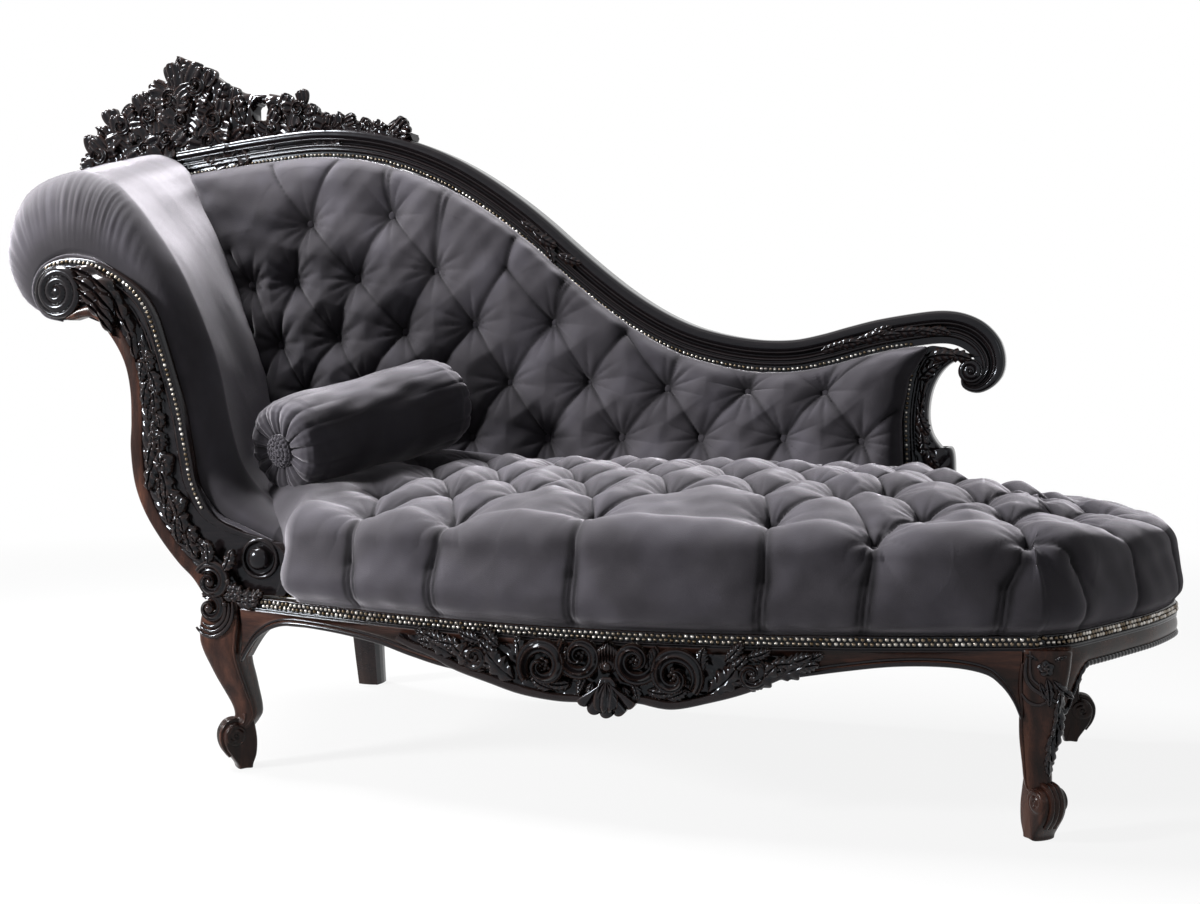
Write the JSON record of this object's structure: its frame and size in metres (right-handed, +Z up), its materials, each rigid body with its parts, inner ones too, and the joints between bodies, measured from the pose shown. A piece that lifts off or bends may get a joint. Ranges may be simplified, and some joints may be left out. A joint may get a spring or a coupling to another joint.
{
  "type": "fainting couch",
  "caption": "Single-ended couch with a rolled head arm, a back that sweeps down to a scroll, a buttoned seat on carved cabriole legs and a loose bolster pillow.",
  "frame": {"origin": "centre of the footprint on the floor", "axes": "+X from the rolled head arm towards the foot end, +Y from the open front towards the carved back, +Z up"},
  "size_m": [1.9178, 0.7252, 1.1477],
  "materials": {
    "velvet": "charcoal grey cotton velvet with a short soft pile",
    "ebonised_wood": "carved wood stained black and polished to a gloss",
    "mahogany": "dark red-brown mahogany, french polished",
    "beech": "plain sawn beech frame timber, out of sight",
    "jute": "woven jute webbing and hessian",
    "black_lining": "thin black lining cloth",
    "spring_steel": "drawn steel wire",
    "nail_metal": "small domed nails in old silver and antique bronze"
  },
  "bodies": {
    "couch": {"apron_carving": "ebonised_wood", "arm_boss": "ebonised_wood", "arm_cushion": "velvet", "arm_front_support": "ebonised_wood", "arm_leaf_carving": "ebonised_wood", "arm_lower_rail": "beech", "arm_nail_strip": "nail_metal", "arm_rear_support": "beech", "arm_top_rail": "beech", "back_cushion": "velvet", "back_end_stile": "ebonised_wood", "back_foot_leg": "mahogany", "back_head_leg": "mahogany", "back_nail_strip": "nail_metal", "back_post_1": "beech", "back_post_2": "beech", "back_post_3": "beech", "back_seat_rail": "beech", "back_stuffing_rail": "beech", "back_top_rail": "ebonised_wood", "corner_block_back_foot": "beech", "corner_block_back_head": "beech", "corner_block_front_foot": "beech", "corner_block_front_head": "beech", "crest_carving": "ebonised_wood", "dust_cover": "black_lining", "foot_knee_carving": "ebonised_wood", "foot_seat_rail_back": "mahogany", "foot_seat_rail_centre": "mahogany", "foot_seat_rail_front": "mahogany", "front_foot_leg": "mahogany", "front_head_leg": "mahogany", "front_seat_rail": "mahogany", "head_knee_carving": "ebonised_wood", "head_seat_rail": "mahogany", "outside_arm_cover": "velvet", "outside_back_cover": "velvet", "seat_cross_brace_1": "beech", "seat_cross_brace_2": "beech", "seat_cross_brace_3": "beech", "seat_cushion": "velvet", "seat_nail_strip_foot": "nail_metal", "seat_nail_strip_front": "nail_metal", "seat_spring_1": "spring_steel", "seat_spring_2": "spring_steel", "seat_spring_3": "spring_steel", "seat_spring_4": "spring_steel", "seat_spring_5": "spring_steel", "seat_spring_6": "spring_steel", "seat_spring_7": "spring_steel", "seat_spring_8": "spring_steel", "seat_webbing": "jute", "spring_deck": "jute", "stile_nail_strip": "nail_metal"},
    "bolster": {"bolster_pillow": "velvet", "bolster_front_rosette": "velvet", "bolster_back_rosette": "velvet"}
  },
  "joints": [
    {"name": "bolster_lift", "type": "slide", "parent": "couch", "child": "bolster", "axis": [0, 0, 1], "range_m": [0, 0.3]}
  ]
}
